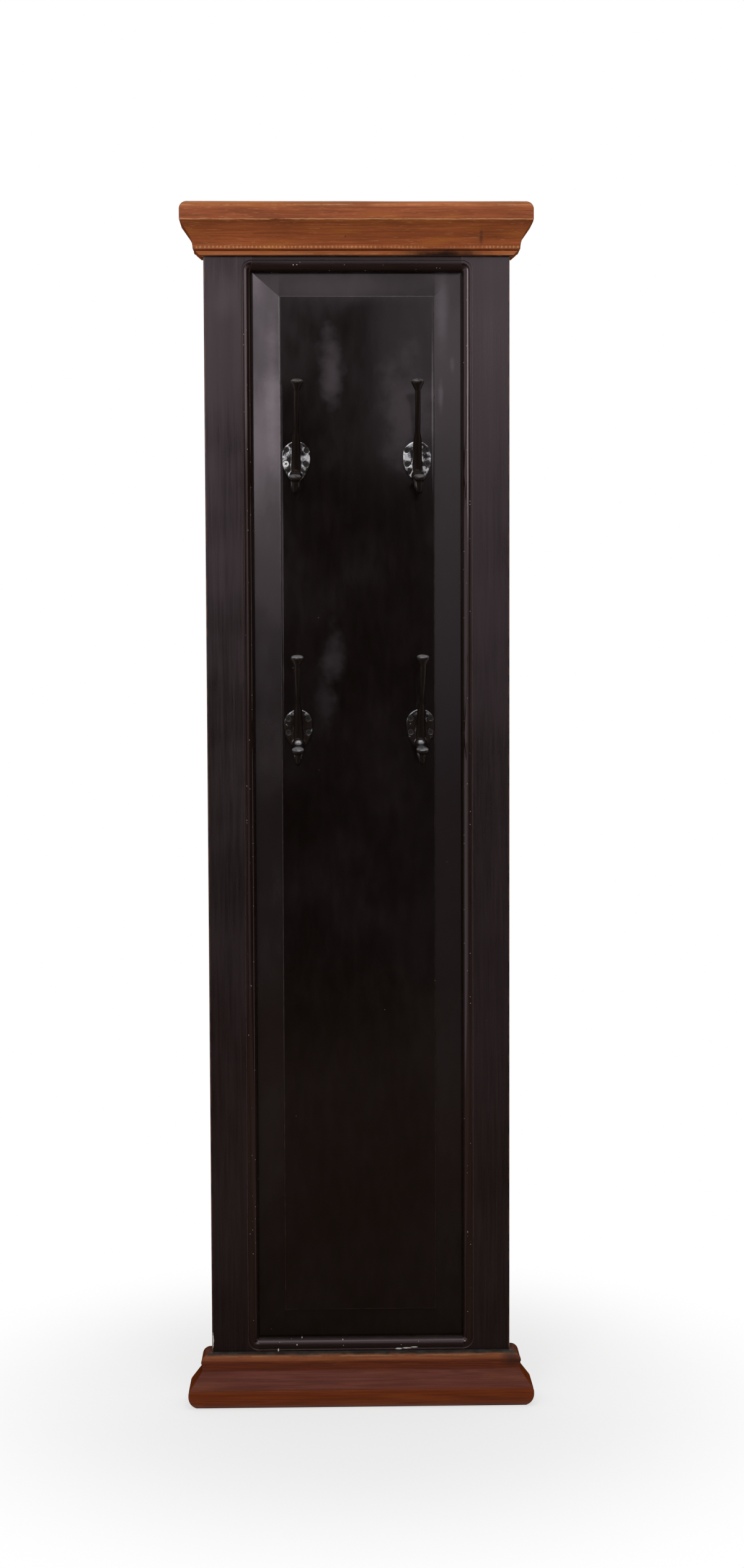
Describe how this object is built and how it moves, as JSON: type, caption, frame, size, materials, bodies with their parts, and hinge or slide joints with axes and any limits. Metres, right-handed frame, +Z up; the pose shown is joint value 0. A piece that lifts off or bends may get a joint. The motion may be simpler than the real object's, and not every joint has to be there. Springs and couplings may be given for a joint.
{
  "type": "coat rack panel",
  "caption": "Tall frame-and-panel coat rack in black lacquer with stained crown and base mouldings and cast-iron hat and coat hooks.",
  "frame": {"origin": "middle of the board's back edge on the floor, in the plane of the wall", "axes": "+X to the viewer's right, +Y into the wall, +Z up"},
  "size_m": [0.494, 0.1158, 1.702],
  "materials": {
    "black_lacquer": "black lacquer, worn at the edges",
    "stained_wood": "stained and varnished",
    "hook_iron": "black gloss",
    "dark_screw": "black",
    "zinc": "zinc plated",
    "nail_steel": "plain steel",
    "peg_wood": "raw"
  },
  "bodies": {
    "root": {"base_front": "stained_wood", "base_left_return": "stained_wood", "base_nails": "nail_steel", "base_right_return": "stained_wood", "bottom_rail": "black_lacquer", "crown_front": "stained_wood", "crown_left_return": "stained_wood", "crown_nails": "nail_steel", "crown_right_return": "stained_wood", "hanger_screws": "zinc", "hook_lower_left": "hook_iron", "hook_lower_right": "hook_iron", "hook_screws_lower_left": "dark_screw", "hook_screws_lower_right": "dark_screw", "hook_screws_upper_left": "dark_screw", "hook_screws_upper_right": "dark_screw", "hook_upper_left": "hook_iron", "hook_upper_right": "hook_iron", "left_stile": "black_lacquer", "raised_panel": "black_lacquer", "right_stile": "black_lacquer", "tenon_pegs": "peg_wood", "top_rail": "black_lacquer", "wall_hanger_left": "zinc", "wall_hanger_right": "zinc", "zinc_screw": "zinc"}
  },
  "joints": []
}
